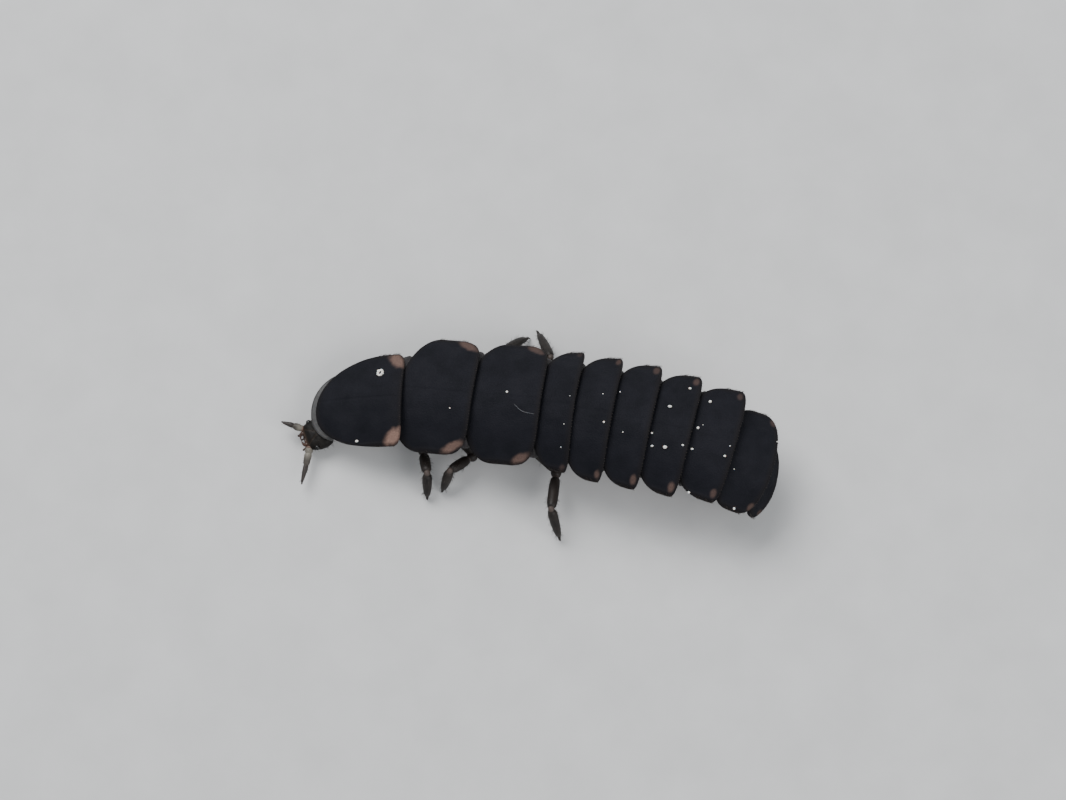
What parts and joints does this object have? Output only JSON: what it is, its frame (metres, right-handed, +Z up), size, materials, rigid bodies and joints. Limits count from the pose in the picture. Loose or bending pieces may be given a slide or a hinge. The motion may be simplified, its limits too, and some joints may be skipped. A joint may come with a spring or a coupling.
{
  "type": "firefly larva",
  "caption": "Life-size firefly larva (glow-worm stage) walking with its tail tip set down: overlapping matte black back plates with pinkish rear corners, small low head, short legs.",
  "frame": {"origin": "on the ground, under the middle of the model's plan", "axes": "+X from head to tail, +Y to the animal's right, +Z up; feet and tail tip rest at z = 0"},
  "size_m": [0.0213, 0.0096, 0.0044],
  "materials": {
    "back_plate": "matte velvety black, pinkish tan rear corners",
    "rim": "thin translucent grey edge",
    "belly": "soft pinkish skin with dark brown plates",
    "leg": "satin dark brown with pale joint rings",
    "head": "satin brown-black",
    "eye": "glossy black",
    "antenna": "translucent grey-brown, dark tips",
    "mouthparts": "glossy reddish brown",
    "holdfast": "soft pale cream, slightly wet"
  },
  "bodies": {
    "root": {"pronotum": "back_plate", "mesonotum": "back_plate", "metanotum": "back_plate", "tergite_1": "back_plate", "tergite_2": "back_plate", "tergite_3": "back_plate", "tergite_4": "back_plate", "tergite_5": "back_plate", "tergite_6": "back_plate", "tergite_7": "back_plate", "tergite_8": "back_plate", "tergite_9": "back_plate", "pronotum_rim": "rim", "prothorax": "belly", "mesothorax": "belly", "metathorax": "belly", "abdomen_1": "belly", "abdomen_2": "belly", "abdomen_3": "belly", "abdomen_4": "belly", "abdomen_5": "belly", "abdomen_6": "belly", "abdomen_7": "belly", "abdomen_8": "belly", "abdomen_9": "belly", "leg_front_left_coxa": "leg", "leg_front_left_femur": "leg", "leg_front_left_tibia": "leg", "leg_middle_left_coxa": "leg", "leg_middle_left_femur": "leg", "leg_middle_left_tibia": "leg", "leg_hind_left_coxa": "leg", "leg_hind_left_femur": "leg", "leg_hind_left_tibia": "leg", "leg_front_right_coxa": "leg", "leg_front_right_femur": "leg", "leg_front_right_tibia": "leg", "leg_middle_right_coxa": "leg", "leg_middle_right_femur": "leg", "leg_middle_right_tibia": "leg", "leg_hind_right_coxa": "leg", "leg_hind_right_femur": "leg", "leg_hind_right_tibia": "leg", "head": "head", "eye_left": "eye", "eye_right": "eye", "antenna_left": "antenna", "antenna_right": "antenna", "mandible_left": "mouthparts", "mandible_right": "mouthparts", "palps": "mouthparts", "neck": "belly", "holdfast": "holdfast"}
  },
  "joints": []
}
